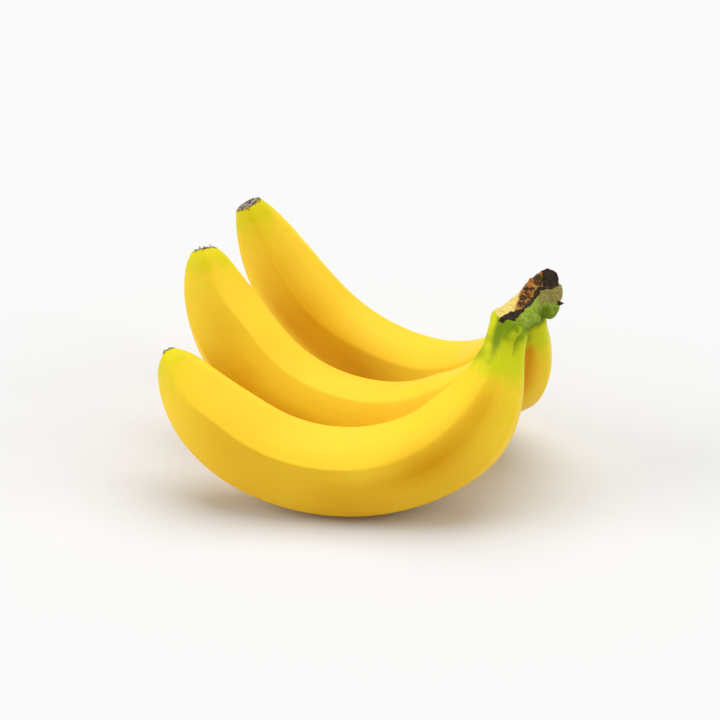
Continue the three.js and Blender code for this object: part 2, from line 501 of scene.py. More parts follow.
@dataclass(frozen=True)
class PeelFinish:
    """Ripe peel: warm yellow, greener at the neck and a little at the tip, with painted shade as
    deeper yellow.
    """

    ripe: Colour = (0.96, 0.645, 0.035)
    # deeper yellow, for random clouding and for painted shade
    deep: Colour = (0.70, 0.33, 0.001)
    tip: Colour = (0.72, 0.62, 0.006)
    stain: Colour = (0.16, 0.075, 0.02)
    clouding: Numbers = (0.7, 1.4, 0.0, 0.2)  # cloud and streak to share of deep yellow
    tip_fray: Fray = Fray(0.18, 0.5)
    neck_fray: Fray = Fray(0.06, 0.34)
    stain_fray: Fray = Fray(0.3, 0.2)
    gloss: Numbers = (0.2, 0.8, 0.42, 0.54)  # mottle to roughness
    cloud: Grain = Grain(34)
    speck: Grain = Grain(0.7, 3, 0.7)
    wave: Grain = Grain(7)
    wave_relief: Relief = Relief(0.5, 0.22)
    pore: Grain = Grain(0.9, 3, 0.6)
    pore_relief: Relief = Relief(0.06, 0.4)

    def build(self) -> bpy.types.Material:
        """Makes the material.

        Returns:
            The material.
        """
        finish = Finish("peel")
        neck, tip, stain, groove = finish.share(PEEL_PAINT)
        streak, shade_paint, _, _ = finish.share(PEEL_STREAK_SHADE)
        mottle = finish.grain(MOTTLE)
        clouds = finish.sum(Sum.ADD, finish.grain(self.cloud), streak)
        # painted shade from the mesh deepens the yellow, along with the clouds
        depth = finish.sum(Sum.ADD, finish.span(clouds, *self.clouding), shade_paint)
        body = finish.mix(depth, self.ripe, self.deep)
        body = finish.mix(finish.ragged(tip, mottle, self.tip_fray), body, self.tip)
        green = neck_green(finish, groove, mottle)
        body = finish.mix(finish.ragged(neck, mottle, self.neck_fray), body, green)
        specks = finish.ragged(stain, finish.grain(self.speck), self.stain_fray)
        finish.feed("Base Color", finish.mix(specks, body, self.stain))
        finish.feed("Roughness", finish.span(mottle, *self.gloss))
        waves = finish.relief(finish.grain(self.wave), self.wave_relief)
        finish.feed("Normal", finish.relief(finish.grain(self.pore), self.pore_relief, waves))
        finish.fixed(
            Subsurface_Weight=0.08, Subsurface_Scale=2.5 * MM, Subsurface_Radius=(1.0, 0.5, 0.1),
            IOR=1.45, Specular_IOR_Level=0.12,
        )
        return finish.material


@dataclass(frozen=True)
class CrownFinish:
    """Green skin with painted light on its knuckles and higher up, olive and scarred near the cut,
    round a browned fibrous face.
    """

    skin: Colour = (0.115, 0.185, 0.006)
    skin_lit: Colour = (0.27, 0.38, 0.022)
    skin_lit_pale: Colour = (0.34, 0.42, 0.10)
    olive: Colour = (0.20, 0.175, 0.035)
    scar: Colour = (0.36, 0.31, 0.09)
    cream: Colour = (0.80, 0.63, 0.18)
    cream_dark: Colour = (0.50, 0.31, 0.05)
    brown: Colour = (0.34, 0.12, 0.014)
    brown_dark: Colour = (0.050, 0.022, 0.007)
    crust: Colour = (0.022, 0.013, 0.006)
    crust_worn: Colour = (0.055, 0.034, 0.018)
    coarse: Grain = Grain(1.6, 3, 0.6)
    fine: Grain = Grain(0.55, 3, 0.65)
    fibre: Grain = Grain(0.8, 4, 0.7)
    patch: Grain = Grain(3.4)
    lit_bulge_fray: Fray = Fray(0.2, 0.5)
    neck_fray: Fray = Fray(0.1, 0.5)
    olive_fray: Fray = Fray(0.28, 0.3)
    brown_fray: Fray = Fray(0.45, 0.25)
    face_fray: Fray = Fray(0.10, 0.16)
    crust_fray: Fray = Fray(0.25, 0.10)
    pale_patches: Span = (0.42, 0.66)
    pale_most: float = 0.6
    scars: Span = (0.42, 0.66)
    cream_fibres: Span = (0.42, 0.72)
    brown_patches: Numbers = (0.3, 0.7, -0.22, 0.22)
    brown_depths: Span = (0.70, 0.26)
    streak_fibres: Numbers = (0.3, 0.7, -0.2, 0.2)
    streaks: Span = (0.56, 0.86)
    worn_crust: Span = (0.50, 0.78)
    gloss: Numbers = (0.2, 0.8, 0.50, 0.75)
    rugged: Numbers = (0.3, 0.7, 0.3, 1.0)  # broken skin to strength of the fibres
    fibre_relief: Relief = Relief(0.25, 0.55)
    fine_relief: Relief = Relief(0.12, 0.45)

    def build(self) -> bpy.types.Material:
        """Makes the material.

        Returns:
            The material.
        """
        finish = Finish("crown_skin")
        face, brown, crust, olive = finish.share(CROWN_PAINT)
        lit_bulge, lump, neck, groove = finish.share(CROWN_TINT)
        coarse, fine = finish.grain(self.coarse), finish.grain(self.fine)
        fibre, patch = finish.grain(self.fibre), finish.grain(self.patch)

        # painted light: the skin is lighter and patchily paler on the knuckles and higher up
        lit = finish.ragged(lit_bulge, patch, self.lit_bulge_fray)
        skin = finish.mix(lit, self.skin, self.skin_lit)
        lit_pale = finish.sum(Sum.TIMES, finish.span(patch, *self.pale_patches), lit_bulge)
        skin = finish.mix(finish.sum(Sum.TIMES, lit_pale, self.pale_most), skin, self.skin_lit_pale)
        rooted = neck_green(finish, groove, finish.grain(MOTTLE))
        skin = finish.mix(finish.ragged(neck, coarse, self.neck_fray), skin, rooted)
        worn = finish.mix(finish.span(fine, *self.scars), self.olive, self.scar)
        skin = finish.mix(finish.ragged(olive, coarse, self.olive_fray), skin, worn)

        cream = finish.mix(finish.span(fibre, *self.cream_fibres), self.cream, self.cream_dark)
        deep = finish.sum(Sum.ADD, lump, finish.span(patch, *self.brown_patches))
        torn = finish.mix(finish.span(deep, *self.brown_depths), self.brown, self.brown_dark)
        streaked = finish.sum(Sum.ADD, finish.span(fibre, *self.streak_fibres), patch)
        torn = finish.mix(finish.span(streaked, *self.streaks), torn, self.cream_dark)
        inside = finish.mix(finish.ragged(brown, fibre, self.brown_fray), cream, torn)

        body = finish.mix(finish.ragged(face, fine, self.face_fray), skin, inside)
        dark = finish.mix(finish.span(fine, *self.worn_crust), self.crust, self.crust_worn)
        crusted = finish.ragged(crust, coarse, self.crust_fray)
        finish.feed("Base Color", finish.mix(crusted, body, dark))
        finish.feed("Roughness", finish.span(fine, *self.gloss))
        broken = finish.sum(Sum.GREATER, face, finish.sum(Sum.GREATER, crust, olive))
        fibres = finish.sum(Sum.TIMES, fibre, finish.span(broken, *self.rugged))
        rough = finish.relief(fibres, self.fibre_relief)
        finish.feed("Normal", finish.relief(fine, self.fine_relief, rough))
        finish.fixed(
            Subsurface_Weight=0.08, Subsurface_Scale=1.5 * MM, IOR=1.45, Specular_IOR_Level=0.15
        )
        return finish.material


@dataclass(frozen=True)
class DriedFinish:
    """Dried blossom: near black, with grey worn fibres."""

    dark: Colour = (0.035, 0.026, 0.018)
    brown: Colour = (0.12, 0.080, 0.045)
    grey: Colour = (0.36, 0.33, 0.28)
    fine: Grain = Grain(0.45, 3, 0.7)
    patch: Grain = Grain(1.3)
    brown_patches: Span = (0.40, 0.62)
    worn_fray: Fray = Fray(0.35, 0.25)
    fine_relief: Relief = Relief(0.2, 0.7)

    def build(self) -> bpy.types.Material:
        """Makes the material.

        Returns:
            The material.
        """
        finish = Finish("dried_blossom")
        worn = finish.share(DRIED_PAINT)[0]
        fine = finish.grain(self.fine)
        patches = finish.span(finish.grain(self.patch), *self.brown_patches)
        body = finish.mix(patches, self.dark, self.brown)
        frayed = finish.ragged(worn, fine, self.worn_fray)
        finish.feed("Base Color", finish.mix(frayed, body, self.grey))
        finish.feed("Normal", finish.relief(fine, self.fine_relief))
        finish.fixed(Roughness=0.85, IOR=1.4)
        return finish.material


@dataclass(frozen=True)
class FloorFinish:
    """Plain pale studio floor."""

    shade: Colour = (0.72, 0.72, 0.72)

    def build(self) -> bpy.types.Material:
        """Makes the material.

        Returns:
            The material.
        """
        finish = Finish("floor")
        finish.fixed(Base_Color=(*self.shade, 1), Roughness=0.9)
        return finish.material


# ---------------------------------------------------------------- fruit

GAP = 0.3
NEAR_NIL = 1e-6  # least length that anything is divided by
NEAR_END = 0.01  # a vertex this near the peel's end is on its end cap
NEAR_BODY = 1.3  # reach from the centre line that is sure to hold the skin, in body radii
BODY_RADIUS = 16.2
NECK_LENGTH = 2.5
TAPER_START = 0.71
TAPER_FULLNESS = 2.25
TAPER_BLUNTNESS = 1.53
FACETS = 5
FACET_SHARPNESS = 6
ARC_OFFSET = 1.0  # a facet bulges like an arc struck from this many radii behind the middle
BEND_KNOTS = (0, 0.23, 0.45, 0.75, 1)
BEND_RUN = 10  # bends are in degrees over this many millimetres
RIDGE_KNOTS = (0, 0.25, 0.5, 0.78, 1)
BLOSSOM_HEIGHT = 1.6
NUB_LENGTH = 6.5
TILT_LENGTH = 13
TILT_SIDE = (0, -1, 0.44)  # the side that a leaning blossom end is raised on
TILT_LIFT = 0.8
FLARE_FADE: Span = (3, 15)
CRISP_ALONG = ((0.06, 0.16), (0.86, 1))  # shares of the length between which ridges show
GROOVE_KNOTS = (0, 0.45, 1)
GROOVE_LEAD = 6  # how far a furrow reaches above its start
GROOVE_EDGE = 5  # width of a furrow's steep side, in degrees

# the neck's dark green, with painted shade in the furrows: spread of the furrows, then the flank
# that starts at the pale side
GREEN_SPREAD = 1.5
GREEN_FURROW = 0.8
GREEN_FADE = 10
GREEN_LEAST = -0.1
FLANK_BLUR = 15
FLANK_DARK = 0.45
FLANK_MIDDLE = 16
FLANK_WIDTH = 5
FLANK_PALE = 1.1
FLANK_TOP: Span = (3, 10)

# painted shade as deeper yellow: along in shares of the length, around in degrees of the section
LOW_SIDE = (0, -0.8, -0.6)
LOW_BLUR = 0.24
LOW_FOOT: Span = (-20, 12)
LOW_TOP = 10
LOW_ALONG = ((0.4, 0.6), (0.7, 0.95))
FOLD_BELOW = 15.0  # how far the fold lies below the ridge
FOLD_WIDTH = 22.0
FOLD_ALONG = ((0.09, 0.2), (0.35, 0.5))
BELLY_AROUND: Span = (-28, -8)
BELLY_ALONG = ((0.2, 0.34), (0.5, 0.62))
SHADE_AROUND = ((-75, -35), (60, 75))
SHADE_FROM: Span = (3, 15)  # in millimetres
SHADE_TO: Span = (0.13, 0.2)


@dataclass(frozen=True)
class Groove:
    """A furrow down the neck, in millimetres, and in degrees where it says angle or width."""

    start: float
    end: float
    start_angle: float
    middle_angle: float
    end_angle: float
    depth: float
    width: float
    step: bool = False  # one steep side, on the side of the higher angle

    def cut(self, distance: float, angle: float, spread: float = 1.0) -> float:
        """Depth at a place.

        Args:
            distance: Distance along the fruit.
            angle: Angle round the section, in radians.
            spread: How much wider than the furrow itself.

        Returns:
            How far the skin is pressed in, in millimetres.
        """
        if not self.start - GROOVE_LEAD < distance < self.end:
            return 0.0
        share = clamp((distance - self.start) / (self.end - self.start))
        middle = eased(GROOVE_KNOTS, (self.start_angle, self.middle_angle, self.end_angle), share)
        away = math.degrees(turn_difference(angle, math.radians(middle)))
        fade = 1 - smoothstep(share, *GROOVE_KNOTS[1:])
        if not self.step:
            return self.depth * fade * bell(away, self.width * spread)
        below = smoothstep(-away, 0, GROOVE_EDGE) * math.exp(-max(-away, 0) / self.width)
        return self.depth * fade * below


@dataclass(frozen=True)
class Fruit:
    """Sizes of one fruit; `neck` is where its centre line starts under the crown."""

    name: str
    neck: tuple[float, float, float]
    yaw: float
    lean: float
    heading: float
    length: float
    girth: float
    neck_radius: float
    shoulder_end: float
    tip_radius: float
    bend: Numbers  # how much it bends at the bend knots
    ridge: Numbers  # angle of the first ridge at the ridge knots
    crisp: float  # how crisp the ridges are, 0 to 1
    green_end: float  # where the neck's green ends
    tip_green: float  # how far the tip's green reaches
    green_depth: float  # how dark the green is at the top of the neck
    flare: float  # how much stouter the neck gets under the crown
    nub: float  # the blossom end's share of the tip's radius
    end_tilt: float  # how far the blossom end leans away from the front, per mm across
    low_shade: float  # painted shade: how much deeper the yellow is on the side that faces the front
    seed: int
    grooves: tuple[Groove, ...]
    pale_side: float = 200  # section angle where the neck's pale flank starts
    low_shade_from: float = 0  # how far down the front side that painted shade starts
    low_shade_rise: float = 0  # section angle that the painted shade reaches up to, 0 where the depth down the front side counts instead
    fold_shade: float = 0  # painted shade: how much deeper it is in the fold under the first ridge
    belly_shade: float = 0  # painted shade below that fold
    neck_shade: float = 0  # painted shade on the side of the neck that faces the front


FRUIT = (
    Fruit(
        name="front", neck=(56.4, -46.3, 74.4), yaw=8.4, lean=19.3, heading=-78.6, length=183.4,
        girth=0.991, neck_radius=6.7, shoulder_end=49.4, tip_radius=2.6,
        bend=(-2, 13.4, 7.5, 8, 4.9), ridge=(13, 17, 8.5, 5.5, -17), crisp=0.95,
        green_end=21.5, tip_green=22, green_depth=1.1, pale_side=45, flare=0.55, nub=0.42,
        end_tilt=0.3, low_shade=0.4, low_shade_from=0.32, fold_shade=0.62, belly_shade=0.35, seed=3,
        grooves=(
            Groove(0, 25, 10, 25, 23, 1.05, 13),
            Groove(0, 21, -56, -24, -27, 0.75, 16, True),
            Groove(0, 20, 100, 96, 92, 0.8, 14),
            Groove(0, 20, -150, -140, -140, 0.8, 14),
        ),
    ),
    Fruit(
        name="middle", neck=(57, -35, 66.2), yaw=21.5, lean=4.7, heading=-83, length=187.3,
        girth=1, neck_radius=5.9, shoulder_end=52.3, tip_radius=4.2,
        bend=(8.8, 11.7, 7.2, 9.6, 2.7), ridge=(50.5, 49, 49.5, 48.5, 23), crisp=0.85,
        green_end=14, tip_green=20, green_depth=1, flare=0.2, nub=0.76,
        end_tilt=0.34, low_shade=1.0, low_shade_from=0.49, seed=11,
        grooves=(Groove(0, 20, -60, -60, -60, 0.6, 14), Groove(0, 20, 150, 150, 150, 0.6, 14)),
    ),
    Fruit(
        name="back", neck=(63, -25.8, 69), yaw=39.9, lean=-18.4, heading=-96.9, length=207.4,
        girth=0.968, neck_radius=6.3, shoulder_end=44.6, tip_radius=4.4,
        bend=(17.6, 7.5, 7.1, 10.1, -1.6), ridge=(54, 55.5, 54.5, 47, 41), crisp=0.8,
        green_end=15, tip_green=22, green_depth=0.5, flare=0.5, nub=1.0,
        end_tilt=0.12, low_shade=1.0, low_shade_rise=105, neck_shade=0.9, seed=23,
        grooves=(
            Groove(0, 18, -30, -28, -28, 0.6, 13),
            Groove(0, 18, 100, 100, 100, 0.7, 14),
            Groove(0, 18, -150, -150, -150, 0.7, 14),
        ),
    ),
)


def facet_section(from_ridge: float, crisp: float) -> float:
    """Five-sided section: 1 at a facet's middle, about 1.1 on a ridge.

    Args:
        from_ridge: Angle from the first ridge, in radians.
        crisp: 0 for rounded ridges, 1 for ridges that come to an edge.

    Returns:
        Radius over the radius to a facet's middle.
    """
    total = 0.0
    for i in range(FACETS):
        facing = math.cos(from_ridge - (i + 0.5) * math.tau / FACETS)
        total += max(facing, 0.0) ** FACET_SHARPNESS
    rounded = total ** (-1 / FACET_SHARPNESS)
    half = math.pi / FACETS
    away = (from_ridge % (2 * half)) - half
    reach = 1 + ARC_OFFSET
    arc = math.sqrt(reach**2 - (ARC_OFFSET * math.sin(away)) ** 2) - ARC_OFFSET * math.cos(away)
    return lerp(rounded, arc, crisp)


class Bow:
    """Bowed centre line of one fruit, and its skin."""

    STEPS = 240

    def __init__(self, fruit: Fruit) -> None:
        """Walks along the fruit from the neck and notes each station.

        Args:
            fruit: Sizes of the fruit.
        """
        self.fruit = fruit
        yaw, lean = math.radians(fruit.yaw), math.radians(fruit.lean)
        up = Vector((0, 0, 1))
        to_front = Vector((-math.sin(yaw), -math.cos(yaw), 0))
        self.to_tip = Vector((-math.cos(yaw), math.sin(yaw), 0))
        self.rise = up * math.cos(lean) - to_front * math.sin(lean)
        self.side = to_front * math.cos(lean) + up * math.sin(lean)
        self.step = fruit.length / self.STEPS
        heading, run, height = math.radians(fruit.heading), 0.0, 0.0
        self.stations = [(heading, run, height)]
        for i in range(self.STEPS):
            bend = eased(BEND_KNOTS, fruit.bend, (i + 0.5) / self.STEPS)
            turned = heading + math.radians(bend) / BEND_RUN * self.step
            middle = (heading + turned) / 2
            run += math.cos(middle) * self.step
            height += math.sin(middle) * self.step
            heading = turned
            self.stations.append((heading, run, height))
        self.near = KDTree(self.STEPS + 1)
        for i in range(self.STEPS + 1):
            self.near.insert(self.frame_at(i * self.step)[0], i)
        self.near.balance()

    def frame_at(self, distance: float) -> tuple[Vector, Vector, Vector]:
        """Finds the centre line and the section's axes.

        Args:
            distance: Distance along the fruit.

        Returns:
            The centre, the inward axis and the forward axis there.
        """
        i = int(clamp(distance // self.step, 0, self.STEPS - 1))
        t = distance / self.step - i
        a, b = self.stations[i], self.stations[i + 1]
        heading = lerp(a[0], b[0], clamp(t))
        centre = (
            Vector(self.fruit.neck)
            + self.to_tip * lerp(a[1], b[1], t)
            + self.rise * lerp(a[2], b[2], t)
        )
        inward = self.to_tip * -math.sin(heading) + self.rise * math.cos(heading)
        return centre, inward, self.side.cross(inward)

    def facet_radius(self, distance: float) -> float:
        """Works out the radius to the middle of a facet.

        Args:
            distance: Distance along the fruit.

        Returns:
            The radius there.
        """
        fruit = self.fruit
        grown = smoothstep(distance, NECK_LENGTH, fruit.shoulder_end)
        girth = lerp(fruit.neck_radius, BODY_RADIUS, grown)
        blunt = 1 - (fruit.tip_radius / BODY_RADIUS) ** TAPER_BLUNTNESS
        taper = clamp((distance / fruit.length - TAPER_START) / (1 - TAPER_START))
        taper *= blunt ** (1 / TAPER_FULLNESS)
        radius = fruit.girth * girth * (1 - taper**TAPER_FULLNESS) ** (1 / TAPER_BLUNTNESS)
        radius += fruit.flare * (1 - smoothstep(distance, *FLARE_FADE))
        near_end = clamp(1 - (fruit.length - distance) / NUB_LENGTH)
        return radius * (1 - (1 - fruit.nub) * near_end**2)

    def ridge(self, distance: float) -> float:
        """Angle of the first ridge, in radians."""
        return math.radians(eased(RIDGE_KNOTS, self.fruit.ridge, distance / self.fruit.length))

    @property
    def end(self) -> float:
        """Where the peel ends and the dried blossom end starts."""
        return self.fruit.length - BLOSSOM_HEIGHT

    def groove(self, distance: float, angle: float, spread: float = 1.0) -> float:
        """Depth of the neck's furrows at a place, or of furrows that are wider by the spread."""
        return sum(g.cut(distance, angle, spread) for g in self.fruit.grooves)

    def radius(self, distance: float, angle: float) -> float:
        """Works out the radius of the skin.

        Args:
            distance: Distance along the fruit.
            angle: Angle round the section, in radians.

        Returns:
            Reach of the skin from the centre line.
        """
        rise, fall = CRISP_ALONG
        share = distance / self.fruit.length
        crisp = self.fruit.crisp * smoothstep(share, *rise) * (1 - smoothstep(share, *fall))
        factor = facet_section(angle - self.ridge(distance), crisp)
        return self.facet_radius(distance) * factor - self.groove(distance, angle)

    def green_and_furrow_shade(self, distance: float, angle: float) -> float:
        """Says how dark the neck's green is at a place, with painted shade in the furrows.

        Args:
            distance: Distance along the fruit.
            angle: Angle round the section, in radians.

        Returns:
            The share, 0.5 where the two greens meet.
        """
        side = self.fruit.pale_side
        flank = FLANK_DARK * bell(distance - FLANK_MIDDLE, FLANK_WIDTH)
        flank -= FLANK_PALE * (1 - smoothstep(distance, *FLANK_TOP))
        flank *= smoothstep(math.degrees(angle), side - FLANK_BLUR, side + FLANK_BLUR)
        fading = max(self.fruit.green_depth - distance / GREEN_FADE, GREEN_LEAST)
        # the furrows get painted shade; the green also fades down from the crown
        return GREEN_FURROW * self.groove(distance, angle, GREEN_SPREAD) + fading + flank

    def locate(self, point: Vector) -> tuple[float, float, float, Vector]:
        """Finds where a point lies along and round the fruit.

        Args:
            point: Place in the bunch.

        Returns:
            Distance along the fruit, section angle, reach from the centre line, and the direction
            of that reach.
        """
        start = self.near.find(point)[1] * self.step
        centre, inward, along = self.frame_at(start)
        offset = point - centre
        across, up = offset.dot(self.side), offset.dot(inward)
        reach = math.hypot(across, up)
        outward = (self.side * across + inward * up) / max(reach, NEAR_NIL)
        return start + offset.dot(along), math.atan2(up, across), reach, outward

    def point(self, distance: float, angle: float, reach: float) -> Vector:
        """Place at a distance along the fruit, an angle and a reach from the centre line."""
        centre, inward, _ = self.frame_at(distance)
        return centre + self.side * (reach * math.cos(angle)) + inward * (reach * math.sin(angle))

    def tilted(self, distance: float, point: Vector) -> Vector:
        """Leans the blossom end back by raising a point there on the side that faces the front.

        Args:
            distance: Distance of the point along the fruit.
            point: The point.

        Returns:
            Where it moves to.
        """
        centre, _, along = self.frame_at(distance)
        fade = smoothstep(distance, self.fruit.length - TILT_LENGTH, self.fruit.length)
        side = Vector(TILT_SIDE)
        across = (side - along * side.dot(along)).normalized()
        lift = (point - centre).dot(across) + TILT_LIFT
        return point + along * (fade * self.fruit.end_tilt * lift)

    def pushed_out(self, point: Vector) -> Vector:
        """Moves a point that lies in this fruit out to just off its skin.

        Args:
            point: A point of a neighbour's peel.

        Returns:
            Where it moves to, or the same place if it lies outside.
        """
        if self.near.find(point)[2] > BODY_RADIUS * NEAR_BODY:
            return point
        distance, angle, reach, outward = self.locate(point)
        return point + outward * max(self.radius(distance, angle) + GAP - reach, 0)


@dataclass
class Peel:
    """The peel of one fruit, flattened where it rests, with its greens and its painted shade as
    deeper yellow.
    """

    bow: Bow
    before: Sequence[Bow]  # the fruit that it gives way to
    finish: bpy.types.Material
    sides: int = 110
    rings: int = 250
    start: float = 5.0  # where the peel begins, under the crown's skin
    ring_ease: float = 0.55  # how much closer the rings are at both ends
    ridge_ease: float = 0.5  # how much closer the columns are on the ridges
    rest_fillet: float = 0.35
    cap_insets: Numbers = (0.93, 0.82, 0.66, 0.45, 0.22)
    cap_dome: float = 0.5  # how far the end under the blossom bulges
    joined_end: float = 90  # how far along the fruit can touch its neighbours
    wander: float = 1.6  # how far the edges of the greens wander
    wander_size: float = 9
    green_blur: float = 14
    tip_middle: float = 0.62  # where the tip's green is half gone, as a share of its reach
    tip_wander: float = 2.5  # how much more its edge wanders than the neck's
    tip_fade: float = 0.38  # how much weaker it gets over its span from the end
    tip_span: Span = (3, 13)
    lemon_past: float = 17  # how far a lemon tinge runs on past the neck's green
    lemon_blur: float = 24
    lemon_most: float = 0.4
    shade_hides_lemon: float = 1.6  # how strongly the painted shade hides that tinge
    shade_hides: float = 0.6  # and how strongly the neck's painted shade hides the green
    shade_span: Span = (5, 15)
    stain_lap: float = 0.12
    stain_length: float = 1.5  # how far the dark rim of the tip runs out
    stain_on_ridge: float = 3.0  # and how much further on a ridge
    stain_width: float = 0.35
    streaks: tuple[Numbers, ...] = (  # strength, number round the fruit, length and seed
        (0.16, 9, 42, 0),
        (0.2, 2.5, 60, 7),
    )

    def rest(self, point: Vector) -> Vector:
        """Presses a point flat where the fruit rests on the ground.

        Args:
            point: The point.

        Returns:
            Where it moves to.
        """
        k = self.rest_fillet
        if point.z < -k:
            point.z = 0.0
        elif point.z < k:
            point.z = (point.z + k) ** 2 / (4 * k)
        return point

    def build(self) -> Piece:
        """Models the peel and paints its greens, stains, streaks and painted shade.

        Returns:
            The peel.
        """
        bow, fruit = self.bow, self.bow.fruit
        bm = unit_tube(self.sides, self.rings, self.cap_insets)
        bm.verts.index_update()
        where = []

        def skin(point: Vector) -> tuple[float, float, float]:
            """Lays out the rings and columns, closer together at the ends and on the ridges.

            Args:
                point: Place on the unit tube.

            Returns:
                Distance along the fruit, angle from the ridge and share of the radius.
            """
            share = point.z + self.ring_ease * math.sin(math.tau * point.z) / math.tau
            distance = lerp(self.start, bow.end, share)
            around = math.atan2(point.y, point.x)
            around -= self.ridge_ease * math.sin(FACETS * around) / FACETS
            return distance, around, math.hypot(point.x, point.y)

        for vert in bm.verts:
            distance, around, out = skin(vert.co)
            angle = around + bow.ridge(distance)
            radius = bow.radius(distance, angle)
            lift = self.cap_dome * (1 - out**4) if distance >= bow.end - NEAR_END else 0.0
            point = bow.point(distance, angle, radius * min(out, 1.0))
            point = bow.tilted(distance, point + bow.frame_at(distance)[2] * lift)
            for other in self.before if distance < self.joined_end else ():
                point = other.pushed_out(point)
            where.append((distance, angle, around))
            vert.co = self.rest(point)
        self.paint_peel(bm, where)
        piece = to_object(f"peel_{fruit.name}", bm)
        return dress(piece, self.finish, f"banana_{fruit.name}")

    def paint_peel(self, bm: Mesh, where: Sequence[tuple[float, float, float]]) -> None:
        """Paints where the peel is green, stained or streaked, and its painted shade.

        Args:
            bm: The peel's mesh.
            where: Distance, section angle and angle from the ridge of each vertex.
        """
        bow, fruit = self.bow, self.bow.fruit
        shade_paint, shade = [], []

        def shares(vert: Vert) -> Sequence[float]:
            """Works out the shares that colour the peel at a vertex.

            Args:
                vert: The vertex.

            Returns:
                Shares of the neck's green, the tip's colour, the stain and the dark green.
            """
            distance, angle, around = where[vert.index]
            from_tip = fruit.length - distance
            wander = self.wander * grain(vert.co, self.wander_size, fruit.seed)
            neck = zone(fruit.green_end - distance + wander, self.green_blur)
            # painted shade on the neck takes away its green, and painted shade takes away the
            # lemon tinge
            neck -= self.shade_hides * shade[vert.index] * smoothstep(distance, *self.shade_span)
            reach = fruit.tip_green * self.tip_middle + self.tip_wander * wander
            tip = zone(reach - from_tip, fruit.tip_green)
            tip *= 1 - self.tip_fade * smoothstep(from_tip, *self.tip_span)
            lemon = clamp(zone(fruit.green_end + self.lemon_past - distance, self.lemon_blur))
            lemon *= self.lemon_most * (1 - clamp(self.shade_hides_lemon * shade_paint[vert.index]))
            on_ridge = bell(math.sin(FACETS * around / 2), self.stain_width)
            stain_length = self.stain_length + self.stain_on_ridge * on_ridge
            stain = self.stain_lap + zone(BLOSSOM_HEIGHT - from_tip, stain_length)
            return neck, max(tip, lemon), stain, bow.green_and_furrow_shade(distance, angle)

        def streaks(vert: Vert) -> Sequence[float]:
            """Works out the streaks and the painted shade at a vertex.

            Args:
                vert: The vertex.

            Returns:
                Shares of streak and of painted shade, and two that are not used.
            """
            distance, _, around = where[vert.index]
            streak = 0.5
            for strength, number, length, seed in self.streaks:
                place = Vector((around * number, distance / length, fruit.seed + seed))
                streak += strength * grain(place, 1)
            return streak, shade_paint[vert.index], 0, 0

        bm.normal_update()
        for vert in bm.verts:
            vert_shade_paint, vert_shade = self.shade_tone(*where[vert.index][:2], vert.normal)
            shade_paint.append(vert_shade_paint)
            shade.append(vert_shade)
        paint(bm, PEEL_PAINT, shares)
        paint(bm, PEEL_STREAK_SHADE, streaks)

    def shade_tone(self, distance: float, angle: float, normal: Vector) -> tuple[float, float]:
        """Painted shade at a place of the peel, as deeper yellow.

        Args:
            distance: Distance along the fruit.
            angle: Section angle, in radians.
            normal: The peel's normal there.

        Returns:
            The whole share of painted shade, and the part of it on the shaded neck.
        """
        fruit, along = self.bow.fruit, distance / self.bow.fruit.length
        degrees = math.degrees(turn_difference(angle, 0))
        under = math.degrees(turn_difference(angle, self.bow.ridge(distance)))
        # painted shade on the side facing down and front, in the fold under the ridge, below it
        # and on the shaded neck
        low = smoothstep(normal.dot(LOW_SIDE), fruit.low_shade_from, fruit.low_shade_from + LOW_BLUR)
        if fruit.low_shade_rise:
            low = window(degrees, (LOW_FOOT, (LOW_TOP, fruit.low_shade_rise)))
        low *= window(along, LOW_ALONG)
        fold_shade = bell(under + FOLD_BELOW, FOLD_WIDTH) * window(along, FOLD_ALONG)
        belly_shade = (1 - smoothstep(under, *BELLY_AROUND)) * window(along, BELLY_ALONG)
        neck = window(degrees, SHADE_AROUND) * smoothstep(distance, *SHADE_FROM)
        shaded = fruit.neck_shade * neck * (1 - smoothstep(along, *SHADE_TO))
        return fruit.low_shade * low + fruit.fold_shade * fold_shade + fruit.belly_shade * belly_shade + shaded, shaded


